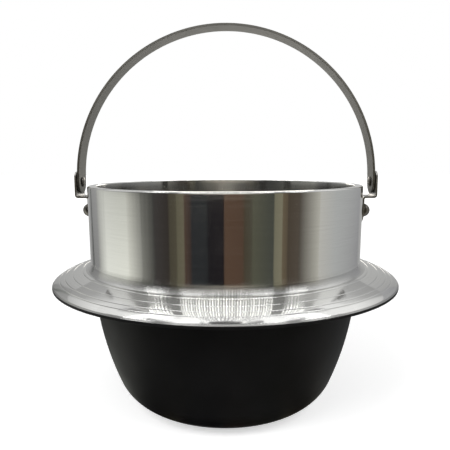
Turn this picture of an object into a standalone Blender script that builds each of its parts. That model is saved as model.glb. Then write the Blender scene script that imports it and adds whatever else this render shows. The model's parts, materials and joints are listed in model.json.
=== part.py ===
"""Camp rice pot: a flanged cooking pot with two riveted ear brackets and a swinging bail handle.

Sizes are in metres. The pot stands on z = 0 with its axis on Z. The bail swings about X,
so the ear brackets stand at +X (right) and -X (left).
"""

from math import asin, atan2, cos, degrees, pi, radians, sin, sqrt

import bpy
from mathutils import Vector

MM = 0.001

# Clearances: between faces that lie on each other, round a pin in its hole, and past a cut's two ends.
FACE_GAP = 0.3 * MM
HOLE_GAP = 0.15 * MM
CUT_MARGIN = 3.0 * MM

# Pot: upright wall above the flange. It leans out towards the rim by its draft.
RIM_OUTER_R = 93.4 * MM
RIM_THICKNESS = 5.4 * MM
RIM_OUTER_ROUND = 1.2 * MM
RIM_INNER_ROUND = 0.6 * MM
WALL_HEIGHT = 63.8 * MM
WALL_DRAFT = 0.7 * MM
FOOT_FILLET_R = 4.8 * MM

# Pot: sloping flange round its middle, with three turned rings and a finer one at the wall's foot.
FLANGE_WIDTH = 24.1 * MM
FLANGE_EDGE_HEIGHT = 87.0 * MM
FLANGE_EDGE_THICKNESS = 1.9 * MM
FLANGE_ROOT_THICKNESS = 3.2 * MM
FLANGE_SLOPE_FALL = 6.14 * MM
FLANGE_ROLL_FALL = 2.16 * MM
FLANGE_ROLL_POWER = 5
FLANGE_EDGE_ROUND = 0.5 * MM
UNDERSIDE_FILLET_R = 4.0 * MM
UNDERSIDE_BLEND = 3.0 * MM
RING_SPOTS = (0.03, 0.35, 0.61, 0.78)
ROLL_SPOTS = (0.86, 0.93)
RING_WIDTH = 0.5 * MM
RING_DEPTH = 0.25 * MM

# Pot: bowl below the flange, a side arc that runs into a corner arc and a flat base.
BOWL_SET_IN = 1.5 * MM
BOWL_WIDEST_RISE = 11.1 * MM
BOWL_SIDE_ARC_R = 207.0 * MM
BOWL_CORNER_ARC_R = 30.3 * MM
BOWL_THICKNESS = 5.0 * MM

# Bail handle: a flat strip bent into an arch, hung on the pivot axis. Laid down, its arch clears the wall.
PIVOT_RISE = 1.8 * MM
BAIL_THICKNESS = 1.5 * MM
BAIL_WIDTH = 16.0 * MM
BAIL_TOP_TO_WALL = 9.7 * MM
BAIL_SPRINGING = 3.0 * MM

# Pivot rivets, whose heads stand between the bail and the wall.
PIVOT_PIN_R = 2.0 * MM
PIVOT_HEAD_OVERHANG = 1.4 * MM
PIVOT_HEAD_HEIGHT = 1.2 * MM
PIVOT_TAIL_OVERHANG = 1.2 * MM
PIVOT_TAIL_HEIGHT = 1.2 * MM
PIVOT_TAIL_CHAMFER = 0.3 * MM
PIVOT_HEAD_TO_WALL = 5.5 * MM

# Wall rivets, whose heads lie on the brackets' feet.
WALL_PIN_R = 2.4 * MM
WALL_HEAD_OVERHANG = 2.2 * MM
WALL_HEAD_HEIGHT = 5.6 * MM
WALL_HEAD_TO_SHELF = 4.4 * MM
WALL_TAIL_OVERHANG = 2.1 * MM
WALL_TAIL_HEIGHT = 1.4 * MM
WALL_TAIL_ROUND = 0.5 * MM
DOME_SKIRT_SHARE = 0.15

# Ear brackets: one bent sheet each. The foot lies on the wall and the plate stands outside the bail.
EAR_SHEET = 1.2 * MM
EAR_INNER_BEND_R = 1.0 * MM
EAR_SIDE_MARGIN = 1.5 * MM
EAR_SHELF_TO_BAIL = 1.7 * MM
EAR_TOP_MARGIN = 4.2 * MM
EAR_FOOT_MARGIN = 4.2 * MM
EAR_CORNER_WIDTH = 6.5 * MM
EAR_CORNER_HEIGHT = 3.5 * MM
EAR_CORNER_TURN = 80

# Cut sheet has broken edges, and its rounded ends start with a short flat at this angle.
EDGE_BREAK = 0.25 * MM
EDGE_BREAK_SEGMENTS = 2
SHARP_ANGLE = 40
END_FLAT_ANGLE = 12

# How finely the round shapes are drawn.
POT_STEPS = 80
BOWL_INSIDE_STEPS = 8
BOWL_OUTSIDE_STEPS = 9
RIVET_STEPS = 32
DOME_STEPS = 8
BAIL_ARCH_STEPS = 29
STRIP_END_STEPS = 7
BEND_STEPS = 5
EAR_CORNER_STEPS = 6
MERGE_DISTANCE = 0.01 * MM

# Sizes that follow from the ones above: the pot.
RIM_HEIGHT = FLANGE_EDGE_HEIGHT + WALL_HEIGHT
RIM_INNER_R = RIM_OUTER_R - RIM_THICKNESS
WALL_FOOT_R = RIM_OUTER_R - WALL_DRAFT
FLANGE_R = RIM_OUTER_R + FLANGE_WIDTH
FLANGE_ROOT_R = WALL_FOOT_R + FOOT_FILLET_R
BOWL_R = WALL_FOOT_R - BOWL_SET_IN
BOWL_WIDEST_HEIGHT = FLANGE_EDGE_HEIGHT + BOWL_WIDEST_RISE

# Sizes that follow: the bail and its pivots.
PIVOT_HEIGHT = RIM_HEIGHT + PIVOT_RISE
PIVOT_HEAD_R = PIVOT_PIN_R + PIVOT_HEAD_OVERHANG
PIVOT_TAIL_R = PIVOT_PIN_R + PIVOT_TAIL_OVERHANG
BAIL_OUTER_R = RIM_OUTER_R + PIVOT_HEAD_TO_WALL + PIVOT_HEAD_HEIGHT + FACE_GAP + BAIL_THICKNESS
BAIL_MID_R = BAIL_OUTER_R - BAIL_THICKNESS / 2
BAIL_RISE = RIM_OUTER_R + BAIL_TOP_TO_WALL + BAIL_THICKNESS

# Sizes that follow: the brackets and the rivets in their feet.
EAR_WIDTH = BAIL_WIDTH + 2 * EAR_SIDE_MARGIN
EAR_BEND_R = EAR_INNER_BEND_R + EAR_SHEET / 2
EAR_PLATE_MID = BAIL_OUTER_R + FACE_GAP + EAR_SHEET / 2
EAR_FOOT_MID = RIM_OUTER_R + FACE_GAP + EAR_SHEET / 2
EAR_FOOT_FACE = EAR_FOOT_MID + EAR_SHEET / 2
EAR_SHELF_DROP = BAIL_WIDTH / 2 + EAR_SHELF_TO_BAIL + EAR_SHEET / 2
EAR_SHELF_HEIGHT = PIVOT_HEIGHT - EAR_SHELF_DROP
EAR_PLATE_TOP = PIVOT_HEIGHT + PIVOT_TAIL_R + EAR_TOP_MARGIN
WALL_HEAD_R = WALL_PIN_R + WALL_HEAD_OVERHANG
WALL_TAIL_R = WALL_PIN_R + WALL_TAIL_OVERHANG
WALL_RIVET_HEIGHT = EAR_SHELF_HEIGHT - EAR_SHEET / 2 - WALL_HEAD_TO_SHELF - WALL_HEAD_R
EAR_FOOT_END = WALL_RIVET_HEIGHT - WALL_HEAD_R - EAR_FOOT_MARGIN


def arc(centre_x, centre_z, radius, start, end, count):
    """Points on a circle from the start angle to the end angle, in degrees from +X."""
    angles = [radians(start + (end - start) * i / (count - 1)) for i in range(count)]
    return [(centre_x + radius * cos(a), centre_z + radius * sin(a)) for a in angles]


def flange_top(radius):
    """Height of the flange's top: it falls evenly, then rolls down near the edge."""
    share = (radius - FLANGE_ROOT_R) / (FLANGE_R - FLANGE_ROOT_R)
    fall = FLANGE_SLOPE_FALL * share + FLANGE_ROLL_FALL * max(share, 0) ** FLANGE_ROLL_POWER
    return FLANGE_EDGE_HEIGHT + FLANGE_SLOPE_FALL + FLANGE_ROLL_FALL - fall


def flange_points():
    """The flange's top from the wall's foot out to its edge, with a shallow turned groove at each ring."""
    span = FLANGE_R - FLANGE_EDGE_ROUND - FLANGE_ROOT_R
    points = []
    for spot in RING_SPOTS:
        middle = FLANGE_ROOT_R + span * spot
        points.append((middle - RING_WIDTH / 2, flange_top(middle - RING_WIDTH / 2)))
        points.append((middle, flange_top(middle) - RING_DEPTH))
        points.append((middle + RING_WIDTH / 2, flange_top(middle + RING_WIDTH / 2)))
    for spot in ROLL_SPOTS:
        radius = FLANGE_ROOT_R + span * spot
        points.append((radius, flange_top(radius)))
    return points


def flange_underside(slope):
    """The flange's underside from its edge in to the bowl, thicker towards the root, then the fillet."""
    edge_x = FLANGE_R - FLANGE_EDGE_ROUND
    root_x = BOWL_R + UNDERSIDE_FILLET_R
    fillet_z = flange_top(root_x) - FLANGE_ROOT_THICKNESS - UNDERSIDE_FILLET_R
    points = []
    for step in (3, 2, 1):
        share = step / 4
        radius = root_x + (edge_x - root_x) * share
        thickness = FLANGE_ROOT_THICKNESS + (FLANGE_EDGE_THICKNESS - FLANGE_ROOT_THICKNESS) * share
        points.append((radius, flange_top(radius) - thickness))
    return points + arc(root_x, fillet_z, UNDERSIDE_FILLET_R, 90 - slope, 180, 5)


def bowl_arcs(inset, count, start_height):
    """The bowl's outline from start_height down to the flat base, moved inwards by inset."""
    side_x = BOWL_R - BOWL_SIDE_ARC_R
    fall = BOWL_WIDEST_HEIGHT - BOWL_CORNER_ARC_R
    reach = BOWL_SIDE_ARC_R - BOWL_CORNER_ARC_R
    corner_x = side_x + sqrt(reach**2 - fall**2)
    turn = degrees(atan2(fall, corner_x - side_x))
    start = degrees(asin((BOWL_WIDEST_HEIGHT - start_height) / (BOWL_SIDE_ARC_R - inset)))
    side = arc(side_x, BOWL_WIDEST_HEIGHT, BOWL_SIDE_ARC_R - inset, -start, -turn, count)
    corner = arc(corner_x, BOWL_CORNER_ARC_R, BOWL_CORNER_ARC_R - inset, -turn, -90, count)
    return side + corner[1:]


def inner_radius(height):
    """Radius of the cavity at a height above the bowl's widest line."""
    share = (height - BOWL_WIDEST_HEIGHT) / (RIM_HEIGHT - BOWL_WIDEST_HEIGHT)
    widest = BOWL_R - BOWL_THICKNESS
    return widest + (RIM_INNER_R - widest) * share


def pot_profile():
    """Half section of the pot: out along the cavity's floor, up, over the rim and down the outside."""
    cavity = bowl_arcs(BOWL_THICKNESS, BOWL_INSIDE_STEPS, BOWL_WIDEST_HEIGHT)
    points = [(0, BOWL_THICKNESS)] + cavity[::-1]
    points += arc(RIM_INNER_R + RIM_INNER_ROUND, RIM_HEIGHT - RIM_INNER_ROUND, RIM_INNER_ROUND, 180, 90, 3)
    points += arc(RIM_OUTER_R - RIM_OUTER_ROUND, RIM_HEIGHT - RIM_OUTER_ROUND, RIM_OUTER_ROUND, 90, 0, 4)

    slope = degrees(atan2(FLANGE_SLOPE_FALL, FLANGE_R - FLANGE_ROOT_R))
    fillet_z = flange_top(FLANGE_ROOT_R) + FOOT_FILLET_R
    points += arc(FLANGE_ROOT_R, fillet_z, FOOT_FILLET_R, 180, 270 - slope, 6)
    points += flange_points()
    edge_x = FLANGE_R - FLANGE_EDGE_ROUND
    edge_top = FLANGE_EDGE_HEIGHT - FLANGE_EDGE_ROUND
    edge_bottom = FLANGE_EDGE_HEIGHT - FLANGE_EDGE_THICKNESS + FLANGE_EDGE_ROUND
    points += arc(edge_x, edge_top, FLANGE_EDGE_ROUND, 60, 0, 3)
    points += arc(edge_x, edge_bottom, FLANGE_EDGE_ROUND, 0, -90, 3)

    points += flange_underside(slope)
    points += bowl_arcs(0, BOWL_OUTSIDE_STEPS, points[-1][1] - UNDERSIDE_BLEND)
    points.append((0, 0))
    return points


def material(name, colour, metallic, roughness):
    made = bpy.data.materials.new(name)
    made.use_nodes = True
    shader = made.node_tree.nodes["Principled BSDF"]
    shader.inputs["Base Color"].default_value = (*colour, 1)
    shader.inputs["Metallic"].default_value = metallic
    shader.inputs["Roughness"].default_value = roughness
    return made


def add_object(name, verts, edges, faces, finish, collection):
    mesh = bpy.data.meshes.new(name)
    mesh.from_pydata([Vector(v) for v in verts], edges, faces)
    mesh.materials.append(finish)
    made = bpy.data.objects.new(name, mesh)
    collection.objects.link(made)
    return made


def turned(name, points, steps, finish, collection):
    """A body of revolution about local Z from a half section that starts and ends on the axis."""
    verts = [(x, 0, z) for x, z in points]
    edges = [(i, i + 1) for i in range(len(points) - 1)]
    made = add_object(name, verts, edges, [], finish, collection)
    screw = made.modifiers.new("turn", "SCREW")
    screw.axis = "Z"
    screw.angle = 2 * pi
    screw.steps = steps
    screw.render_steps = steps
    screw.use_merge_vertices = True
    screw.merge_threshold = MERGE_DISTANCE
    screw.use_smooth_shade = True
    return made


def bent_strip(name, rows, thickness, finish, collection, mirrored=False):
    """A bent sheet of even thickness, swept along rows of (x, z, half width)."""
    verts = []
    for x, z, half in rows:
        verts += [(x, -half, z), (x, half, z)]
    faces = [(2 * i, 2 * i + 1, 2 * i + 3, 2 * i + 2) for i in range(len(rows) - 1)]
    made = add_object(name, verts, [], faces, finish, collection)
    made.data.shade_smooth()
    if mirrored:
        mirror = made.modifiers.new("other_half", "MIRROR")
        mirror.use_axis = (True, False, False)
        mirror.merge_threshold = MERGE_DISTANCE
    shell = made.modifiers.new("sheet", "SOLIDIFY")
    shell.thickness = thickness
    shell.offset = 0
    shell.use_even_offset = True
    edge = made.modifiers.new("broken_edges", "BEVEL")
    edge.width = EDGE_BREAK
    edge.segments = EDGE_BREAK_SEGMENTS
    edge.limit_method = "ANGLE"
    edge.angle_limit = radians(SHARP_ANGLE)
    return made


def rounded_end(radius):
    """Rows of (distance from the end, half width) that round a strip's end off to a half circle."""
    rows = []
    for i in range(STRIP_END_STEPS):
        angle = radians(END_FLAT_ANGLE + (90 - END_FLAT_ANGLE) * i / (STRIP_END_STEPS - 1))
        rows.append((radius - radius * cos(angle), radius * sin(angle)))
    return rows


def bail_rows():
    """The right half of the bail, from the rounded end of its leg up to the middle of the arch."""
    half = BAIL_WIDTH / 2
    rows = [(BAIL_MID_R, along - half, width) for along, width in rounded_end(half)]
    rise = BAIL_RISE - BAIL_THICKNESS / 2 - BAIL_SPRINGING
    for i in range(BAIL_ARCH_STEPS):
        angle = radians(90 * i / (BAIL_ARCH_STEPS - 1))
        rows.append((BAIL_MID_R * cos(angle), BAIL_SPRINGING + rise * sin(angle), half))
    rows[-1] = (0, BAIL_SPRINGING + rise, half)
    return rows


def ear_rows():
    """The bracket from its foot on the wall, out along the shelf, which is at local z 0, and up the plate."""
    half = EAR_WIDTH / 2
    reach = EAR_PLATE_MID - EAR_FOOT_MID
    foot_end = EAR_FOOT_END - EAR_SHELF_HEIGHT
    plate_top = EAR_PLATE_TOP - EAR_SHELF_HEIGHT
    rows = [(0, foot_end + along, width) for along, width in rounded_end(half)]
    bends = arc(EAR_BEND_R, -EAR_BEND_R, EAR_BEND_R, 180, 90, BEND_STEPS)
    bends += arc(reach - EAR_BEND_R, EAR_BEND_R, EAR_BEND_R, -90, 0, BEND_STEPS)
    rows += [(x, z, half) for x, z in bends]
    for i in range(EAR_CORNER_STEPS):
        angle = radians(EAR_CORNER_TURN * i / (EAR_CORNER_STEPS - 1))
        width = half - EAR_CORNER_WIDTH * (1 - cos(angle))
        rows.append((reach, plate_top - EAR_CORNER_HEIGHT * (1 - sin(angle)), width))
    return rows


def pivot_rivet_profile():
    """Local Z points away from the pot. Zero is the bail's outer face."""
    head = -BAIL_THICKNESS - FACE_GAP
    tail = FACE_GAP + EAR_SHEET + FACE_GAP
    end = tail + PIVOT_TAIL_HEIGHT
    points = [(0, end), (PIVOT_TAIL_R - PIVOT_TAIL_CHAMFER, end), (PIVOT_TAIL_R, end - PIVOT_TAIL_CHAMFER)]
    points += [(PIVOT_TAIL_R, tail), (PIVOT_PIN_R, tail), (PIVOT_PIN_R, head)]
    points += dome(PIVOT_HEAD_R, PIVOT_HEAD_HEIGHT, head, -1)
    return points


def wall_rivet_profile():
    """Local Z points away from the pot. Zero is the pot's axis."""
    head = EAR_FOOT_FACE + FACE_GAP
    lowest = inner_radius(WALL_RIVET_HEIGHT - WALL_TAIL_R) * cos(pi / POT_STEPS)
    tail = sqrt(lowest**2 - WALL_TAIL_R**2) - FACE_GAP
    end = tail - WALL_TAIL_HEIGHT
    points = dome(WALL_HEAD_R, WALL_HEAD_HEIGHT, head, 1)[::-1]
    points += [(WALL_PIN_R, head), (WALL_PIN_R, tail), (WALL_TAIL_R, tail)]
    points += arc(WALL_TAIL_R - WALL_TAIL_ROUND, end + WALL_TAIL_ROUND, WALL_TAIL_ROUND, 0, -90, 3)
    points.append((0, end))
    return points


def dome(radius, height, base, side):
    """A rivet head's outline from its base to its top on the axis, towards side (1 or -1)."""
    skirt = DOME_SKIRT_SHARE * height
    points = [(radius, base)]
    for i in range(DOME_STEPS):
        angle = radians(90 * i / (DOME_STEPS - 1))
        points.append((radius * cos(angle), base + side * (skirt + (height - skirt) * sin(angle))))
    points[-1] = (0, points[-1][1])
    return points


def hole_cutter(name, radius, side, inner, outer, height, collection):
    """A round bar along X, on that side, which cuts a hole through what lies from inner to outer."""
    start = inner - CUT_MARGIN
    end = outer + CUT_MARGIN
    bpy.ops.mesh.primitive_cylinder_add(vertices=RIVET_STEPS, radius=radius, depth=end - start)
    made = bpy.context.object
    made.name = name
    made.location = (side * (start + end) / 2, 0, height)
    made.rotation_euler = (0, pi / 2, 0)
    for holder in list(made.users_collection):
        holder.objects.unlink(made)
    collection.objects.link(made)
    made.hide_render = True
    made.display_type = "WIRE"
    return made


def cut(target, cutter):
    step = target.modifiers.new("hole", "BOOLEAN")
    step.operation = "DIFFERENCE"
    step.solver = "EXACT"
    step.object = cutter


def main():
    for old in list(bpy.data.objects):
        bpy.data.objects.remove(old, do_unlink=True)

    pieces = bpy.data.collections.new("camp_rice_pot")
    cutters = bpy.data.collections.new("cutters")
    bpy.context.scene.collection.children.link(pieces)
    bpy.context.scene.collection.children.link(cutters)

    pot_metal = material("pot_metal", (0.76, 0.76, 0.74), 1, 0.22)
    bail_steel = material("bail_steel", (0.42, 0.42, 0.40), 1, 0.38)
    ear_steel = material("ear_steel", (0.50, 0.49, 0.46), 1, 0.30)
    rivet_steel = material("rivet_steel", (0.46, 0.44, 0.40), 1, 0.28)

    pot = turned("pot_body", pot_profile(), POT_STEPS, pot_metal, pieces)

    bail = bent_strip("bail_handle", bail_rows(), BAIL_THICKNESS, bail_steel, pieces, mirrored=True)
    bail.location = (0, 0, PIVOT_HEIGHT)

    for label, side in (("right", 1), ("left", -1)):
        ear = bent_strip("ear_bracket_" + label, ear_rows(), EAR_SHEET, ear_steel, pieces)
        ear.location = (side * EAR_FOOT_MID, 0, EAR_SHELF_HEIGHT)
        ear.rotation_euler = (0, 0, 0 if side == 1 else pi)

        pivot = turned("pivot_rivet_" + label, pivot_rivet_profile(), RIVET_STEPS, rivet_steel, pieces)
        pivot.location = (side * BAIL_OUTER_R, 0, PIVOT_HEIGHT)
        pivot.rotation_euler = (0, side * pi / 2, 0)

        rivet = turned("wall_rivet_" + label, wall_rivet_profile(), RIVET_STEPS, rivet_steel, pieces)
        rivet.location = (0, 0, WALL_RIVET_HEIGHT)
        rivet.rotation_euler = (0, side * pi / 2, 0)

        pivot_hole = hole_cutter(
            "pivot_hole_" + label,
            PIVOT_PIN_R + HOLE_GAP,
            side,
            BAIL_OUTER_R - BAIL_THICKNESS,
            EAR_PLATE_MID + EAR_SHEET / 2,
            PIVOT_HEIGHT,
            cutters,
        )
        cut(bail, pivot_hole)
        cut(ear, pivot_hole)

        wall_hole = hole_cutter(
            "wall_hole_" + label,
            WALL_PIN_R + HOLE_GAP,
            side,
            inner_radius(WALL_RIVET_HEIGHT),
            EAR_FOOT_FACE,
            WALL_RIVET_HEIGHT,
            cutters,
        )
        cut(ear, wall_hole)
        cut(pot, wall_hole)


main()
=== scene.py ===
"""Looks of the camp rice pot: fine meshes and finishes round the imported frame, in a plain studio.

Sizes are in metres and angles in degrees. The pot stands on z = 0 with its axis on Z, and the bail swings
about X. Azimuth 0 is towards -Y, where the camera stands, and azimuth 90 is towards +X.
"""

import json
from math import asin, atan2, cos, degrees, dist, pi, radians, sin, sqrt, tan

import bpy
from mathutils import Matrix, Vector

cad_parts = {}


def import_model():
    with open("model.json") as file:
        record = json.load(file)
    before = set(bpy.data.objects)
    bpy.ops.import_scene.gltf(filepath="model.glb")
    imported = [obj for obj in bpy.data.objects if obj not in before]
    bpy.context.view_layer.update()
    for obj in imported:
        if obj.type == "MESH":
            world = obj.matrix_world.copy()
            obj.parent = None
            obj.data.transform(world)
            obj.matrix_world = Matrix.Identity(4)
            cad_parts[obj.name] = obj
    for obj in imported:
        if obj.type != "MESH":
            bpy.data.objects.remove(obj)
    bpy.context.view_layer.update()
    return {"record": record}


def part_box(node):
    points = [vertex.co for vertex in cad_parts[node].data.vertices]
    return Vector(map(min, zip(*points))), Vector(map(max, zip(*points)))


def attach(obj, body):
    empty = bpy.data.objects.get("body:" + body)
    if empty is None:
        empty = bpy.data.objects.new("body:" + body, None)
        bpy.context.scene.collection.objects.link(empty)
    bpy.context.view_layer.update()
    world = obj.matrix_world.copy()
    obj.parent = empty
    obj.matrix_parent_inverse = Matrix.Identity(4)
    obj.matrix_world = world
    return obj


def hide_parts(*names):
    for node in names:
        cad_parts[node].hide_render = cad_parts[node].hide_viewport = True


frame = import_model()

MM = 0.001

# The frame's own sizes: the pot, the bail with its pivot axis, and the right ear bracket.
POT_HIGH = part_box("pot_body")[1]
BAIL_LOW, BAIL_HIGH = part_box("bail_handle")
EAR_LOW, EAR_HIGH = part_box("ear_bracket_right")
FLANGE_R = POT_HIGH.x
RIM_HEIGHT = POT_HIGH.z
PIVOT_HEIGHT = frame["record"]["behaviour"]["joints"][0]["pos_m"][2]
BAIL_OUTER_R = BAIL_HIGH.x
BAIL_WIDTH = BAIL_HIGH.y - BAIL_LOW.y
BAIL_RISE = BAIL_HIGH.z - PIVOT_HEIGHT
EAR_WIDTH = EAR_HIGH.y - EAR_LOW.y

# Clearances: between faces that lie on each other, round a pin in its hole, and past a cut's two ends.
FACE_GAP = 0.3 * MM
HOLE_GAP = 0.15 * MM
CUT_MARGIN = 3.0 * MM

# Pot: upright wall above the flange. It leans out towards the rim by its draft.
RIM_THICKNESS = 5.4 * MM
RIM_OUTER_ROUND = 1.2 * MM
RIM_INNER_ROUND = 0.6 * MM
WALL_HEIGHT = 63.8 * MM
WALL_DRAFT = 0.7 * MM
FOOT_FILLET_R = 4.8 * MM

# Pot: fine grooves left by turning, from a little above the wall's foot to the fillet's end. GROOVE_TILT
# is how steep their sides get. The foot's own finish covers the last stretch of them: rougher metal whose
# darker colour is painted shade in the fillet.
GROOVE_PITCH = 0.25 * MM
GROOVE_LIFTS = (0, 1, 0, -1)
GROOVE_TILT = 24
GROOVES_ABOVE_FOOT = 3.5 * MM
FOOT_FINISH_AND_PAINTED_SHADE_RUN = 6.25 * MM

# Pot: sloping flange round its middle. RING_SPOTS are its turned rings, as shares of its width, and within
# RING_CLEAR of a ring's middle its top has only the ring's own points.
FLANGE_WIDTH = 24.1 * MM
FLANGE_EDGE_THICKNESS = 1.9 * MM
FLANGE_ROOT_THICKNESS = 3.2 * MM
FLANGE_SLOPE_FALL = 6.14 * MM
FLANGE_ROLL_FALL = 2.16 * MM
FLANGE_ROLL_POWER = 5
FLANGE_EDGE_ROUND = 0.5 * MM
UNDERSIDE_FILLET_R = 4.0 * MM
UNDERSIDE_BLEND = 3.0 * MM
RING_SPOTS = (0.03, 0.35, 0.61, 0.78)
RING_WIDTH = 0.5 * MM
RING_DEPTH = 0.25 * MM
RING_CLEAR = 0.3 * MM

# Pot: bowl below the flange, a side arc that runs into a corner arc and a flat base.
BOWL_SET_IN = 1.5 * MM
BOWL_WIDEST_RISE = 11.1 * MM
BOWL_SIDE_ARC_R = 207.0 * MM
BOWL_CORNER_ARC_R = 30.3 * MM
BOWL_THICKNESS = 5.0 * MM

# Bail handle: a flat strip bent into an arch, hung on the pivot axis.
BAIL_THICKNESS = 1.5 * MM
BAIL_SPRINGING = 3.0 * MM

# Pivot rivets, whose heads stand between the bail and the wall.
PIVOT_PIN_R = 2.0 * MM
PIVOT_HEAD_R = 3.4 * MM
PIVOT_HEAD_HEIGHT = 1.2 * MM
PIVOT_TAIL_R = 3.2 * MM
PIVOT_TAIL_HEIGHT = 1.2 * MM
PIVOT_TAIL_CHAMFER = 0.3 * MM

# Wall rivets, whose heads lie on the brackets' feet.
WALL_PIN_R = 2.4 * MM
WALL_HEAD_R = 4.6 * MM
WALL_HEAD_HEIGHT = 5.6 * MM
WALL_HEAD_TO_SHELF = 4.4 * MM
WALL_TAIL_R = 4.5 * MM
WALL_TAIL_HEIGHT = 1.4 * MM
WALL_TAIL_ROUND = 0.5 * MM
HEAD_SKIRT_SHARE = 0.15

# Ear brackets: one bent sheet each. The foot lies on the wall and the plate stands outside the bail.
EAR_SHEET = 1.2 * MM
EAR_INNER_BEND_R = 1.0 * MM
EAR_SHELF_TO_BAIL = 1.7 * MM
EAR_CORNER_WIDTH = 6.5 * MM
EAR_CORNER_HEIGHT = 3.5 * MM
EAR_CORNER_TURN = 80

# Cut sheet has its edges broken where faces meet at more than EDGE_BREAK_ANGLE. A rounded end has a short
# flat that reaches END_FLAT_ANGLE to either side of its middle.
EDGE_BREAK = 0.25 * MM
EDGE_BREAK_SEGMENTS = 3
EDGE_BREAK_ANGLE = 40
END_FLAT_ANGLE = 12

# Edges that turn further than this are shaded sharp. A broken edge's facet meets the flat at 15, so the
# strips' value keeps their flats flat.
POT_SMOOTH_ANGLE = 65
STRIP_SMOOTH_ANGLE = 12
RIVET_SMOOTH_ANGLE = 35

# How finely the round shapes are drawn. FILL_PITCH is the longest step along a straight stretch of the
# pot's section, and CAD_POT_STEPS is how many flats the frame's own pot has.
POT_STEPS = 480
CAD_POT_STEPS = 80
RIM_INNER_STEPS = 7
RIM_OUTER_STEPS = 10
FOOT_FILLET_STEPS = 60
FLANGE_TOP_STEPS = 60
RING_STEPS = 8
EDGE_TOP_STEPS = 5
EDGE_BOTTOM_STEPS = 6
UNDERSIDE_STEPS = 16
UNDERSIDE_FILLET_STEPS = 12
BOWL_INSIDE_STEPS = 28
BOWL_OUTSIDE_STEPS = 36
FILL_PITCH = 4 * MM
RIVET_STEPS = 96
RIVET_HEAD_STEPS = 24
TAIL_ROUND_STEPS = 6
HOLE_STEPS = 64
BAIL_ARCH_STEPS = 100
STRIP_END_STEPS = 20
BEND_STEPS = 12
EAR_CORNER_STEPS = 20

# Sizes that follow from the ones above: the pot.
RIM_OUTER_R = FLANGE_R - FLANGE_WIDTH
RIM_INNER_R = RIM_OUTER_R - RIM_THICKNESS
WALL_FOOT_R = RIM_OUTER_R - WALL_DRAFT
FLANGE_ROOT_R = WALL_FOOT_R + FOOT_FILLET_R
FLANGE_EDGE_HEIGHT = RIM_HEIGHT - WALL_HEIGHT
BOWL_R = WALL_FOOT_R - BOWL_SET_IN
BOWL_WIDEST_HEIGHT = FLANGE_EDGE_HEIGHT + BOWL_WIDEST_RISE

# Sizes that follow: the bail, the brackets and the rivets in their feet.
BAIL_MID_R = BAIL_OUTER_R - BAIL_THICKNESS / 2
EAR_BEND_R = EAR_INNER_BEND_R + EAR_SHEET / 2
EAR_PLATE_MID = BAIL_OUTER_R + FACE_GAP + EAR_SHEET / 2
EAR_FOOT_MID = RIM_OUTER_R + FACE_GAP + EAR_SHEET / 2
EAR_SHELF_HEIGHT = PIVOT_HEIGHT - BAIL_WIDTH / 2 - EAR_SHELF_TO_BAIL - EAR_SHEET / 2
WALL_RIVET_HEIGHT = EAR_SHELF_HEIGHT - EAR_SHEET / 2 - WALL_HEAD_TO_SHELF - WALL_HEAD_R

# The pot's turned metal, from the cavity over the rim to the flange's edge: name, colour, roughness,
# and how deep the turned bands are. The inside, the foot and the edge are copies of the wall's metal whose
# darker colour is painted shade.
TURNED_METAL_AND_PAINTED_SHADE = (
    # Painted shade: a darker colour for the shade inside the cavity.
    ("turned_inside_painted_shade", (0.42, 0.42, 0.405), 0.14, 0.004 * MM),
    ("turned_wall", (0.80, 0.80, 0.78), 0.10, 0.004 * MM),
    # Painted shade: a darker colour for the shade in the fillet at the wall's foot.
    ("turned_foot_painted_shade", (0.64, 0.64, 0.625), 0.12, 0.004 * MM),
    ("turned_flange", (0.80, 0.80, 0.78), 0.085, 0.002 * MM),
    # Painted shade: a darker colour on the flange's edge, which is also rougher.
    ("turned_edge_painted_shade", (0.46, 0.46, 0.45), 0.28, 0.002 * MM),
)

# Most of a noise's values lie between these two.
NOISE_LOW = 0.3
NOISE_HIGH = 0.7

# Camera, as fitted to the photograph.
CAMERA_DISTANCE = 355.9 * MM
CAMERA_HEIGHT = 166.4 * MM
CAMERA_YAW = 1.76
CAMERA_PITCH = 7.16
CAMERA_ROLL = -0.15
CAMERA_FOCAL_PX = 507.3
CAMERA_SHIFT_PX = (-0.22, 0.46)
IMAGE_PX = 450
SENSOR = 36.0

# Floor: a plain square. Its own white grows with the distance from the pot, up to 1.
FLOOR_REACH = 6.0
FLOOR_HEIGHT = -0.1 * MM
FLOOR_GREY = 0.8
FLOOR_WHITE_NEAR = 0.55
FLOOR_WHITE_START = 0.5
FLOOR_WHITE_END = 1.6

# Light: what the world gives from all round, and the soft lamps as name, place and power.
WORLD_FILL = 0.35
LAMP_SIZE = 0.8
LAMPS = (
    ("key_lamp", (-0.7, -0.9, 1.1), 14),
    ("fill_lamp", (0.9, -0.6, 0.9), 8),
)

# Cards that only reflections show. A ring of upright stripes stands round the pot and runs in along the
# floor to FLOOR_CARD_R, with two more cards just inside it, and a dome hangs over it all.
FLOOR_CARD_R = 62 * MM
RING_CARD_R = 420 * MM
INSIDE_CARD_R = RING_CARD_R - 10 * MM
CARD_FOOT = 1 * MM
CARD_TOP = 264 * MM
CARD_STEP = 3
DOME_CENTRE = 120 * MM
DOME_R = 2500 * MM
DOME_LOW = 16
DOME_STEP = 4

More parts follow.
